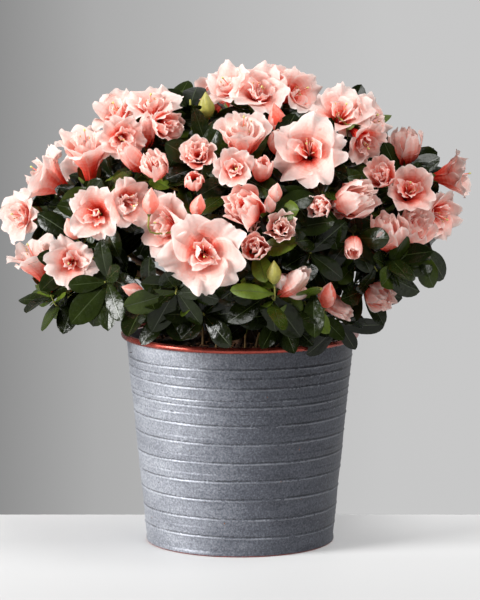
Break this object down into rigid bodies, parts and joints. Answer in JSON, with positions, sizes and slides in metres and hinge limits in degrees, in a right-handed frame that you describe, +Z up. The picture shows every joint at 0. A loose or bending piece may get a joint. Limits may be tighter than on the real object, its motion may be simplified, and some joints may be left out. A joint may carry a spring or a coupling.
{
  "type": "potted azalea shrub",
  "caption": "Low rounded azalea shrub in double bloom, growing in a tapered sheet-metal planter with raised hoops and a rolled rim.",
  "frame": {"origin": "middle of the planter's flat underside", "axes": "+Z up along the planter's axis, -Y towards the front of the shrub, +X to the right seen from the front"},
  "size_m": [0.3557, 0.3287, 0.368],
  "materials": {
    "zinc": "weathered, galvanised",
    "copper": "glossy lacquered copper",
    "compost": "loose bark and peat",
    "bark": "rough bark",
    "leaves": "leathery, half gloss",
    "shoots": "matte",
    "petals": "soft, slightly translucent",
    "stamens": "matte"
  },
  "bodies": {
    "root": {"planter_body": "zinc", "planter_rim": "copper", "compost": "compost", "main_stem": "bark", "bough_top": "bark", "bough_upper_1": "bark", "bough_upper_2": "bark", "bough_upper_3": "bark", "bough_upper_4": "bark", "bough_upper_5": "bark", "bough_lower_1": "bark", "bough_lower_2": "bark", "bough_lower_3": "bark", "bough_lower_4": "bark", "bough_lower_5": "bark", "bough_lower_6": "bark", "bough_lower_7": "bark", "foliage_top": "leaves", "foliage_upper_1": "leaves", "foliage_upper_2": "leaves", "foliage_upper_3": "leaves", "foliage_upper_4": "leaves", "foliage_upper_5": "leaves", "foliage_lower_1": "leaves", "foliage_lower_2": "leaves", "foliage_lower_3": "leaves", "foliage_lower_4": "leaves", "foliage_lower_5": "leaves", "foliage_lower_6": "leaves", "foliage_lower_7": "leaves"}
  },
  "joints": []
}
